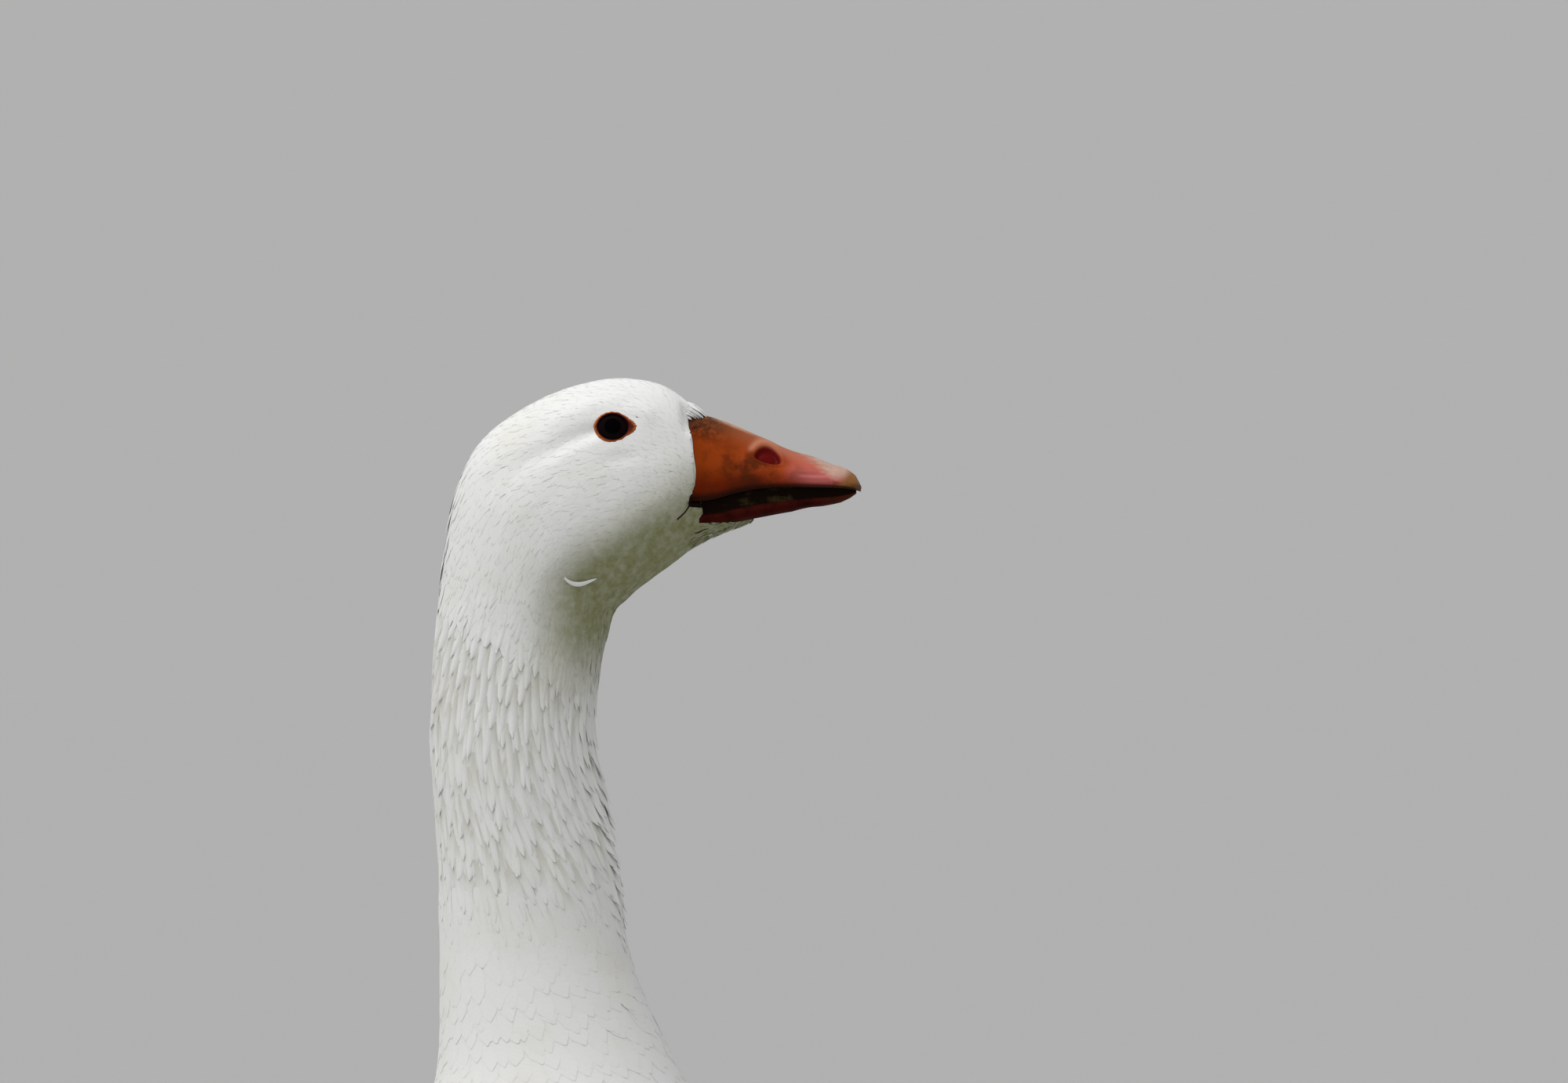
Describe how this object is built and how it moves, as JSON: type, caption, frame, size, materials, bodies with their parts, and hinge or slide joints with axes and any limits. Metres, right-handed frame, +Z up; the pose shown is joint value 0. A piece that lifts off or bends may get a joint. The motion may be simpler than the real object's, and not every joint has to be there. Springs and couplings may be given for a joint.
{
  "type": "domestic goose model",
  "caption": "Life-size still model of a white domestic goose standing upright: orange bill, straight neck, folded wings, short tail, webbed feet flat on the floor.",
  "frame": {"origin": "on the floor, under the centre of the bounding box", "axes": "+X the way the bird faces, +Y its left side, +Z up"},
  "size_m": [0.581, 0.215, 0.6701],
  "materials": {
    "white_plumage": "matt white feathers, soft and finely streaked",
    "flight_feathers": "matt creamy white quills with barbs",
    "orange_bill": "satin horn, brownish orange",
    "pale_nail": "satin horn, pale flesh",
    "dark_eye": "wet gloss, almost black",
    "orange_leg": "satin scaled skin, orange",
    "horn_claw": "satin horn, brown"
  },
  "bodies": {
    "root": {"bill_lower": "orange_bill", "bill_nail": "pale_nail", "bill_upper": "orange_bill", "chin": "white_plumage", "claw_hind_left": "horn_claw", "claw_hind_right": "horn_claw", "claw_inner_left": "horn_claw", "claw_inner_right": "horn_claw", "claw_middle_left": "horn_claw", "claw_middle_right": "horn_claw", "claw_outer_left": "horn_claw", "claw_outer_right": "horn_claw", "eye_left": "dark_eye", "eye_right": "dark_eye", "foot_left": "orange_leg", "foot_right": "orange_leg", "head": "white_plumage", "hind_toe_left": "orange_leg", "hind_toe_right": "orange_leg", "neck_lower": "white_plumage", "neck_upper": "white_plumage", "shank_left": "orange_leg", "shank_right": "orange_leg", "tail": "flight_feathers", "thigh_left": "white_plumage", "thigh_right": "white_plumage", "trunk": "white_plumage", "wing_left": "white_plumage", "wing_right": "white_plumage", "wing_tip_left": "flight_feathers", "wing_tip_right": "flight_feathers"}
  },
  "joints": []
}
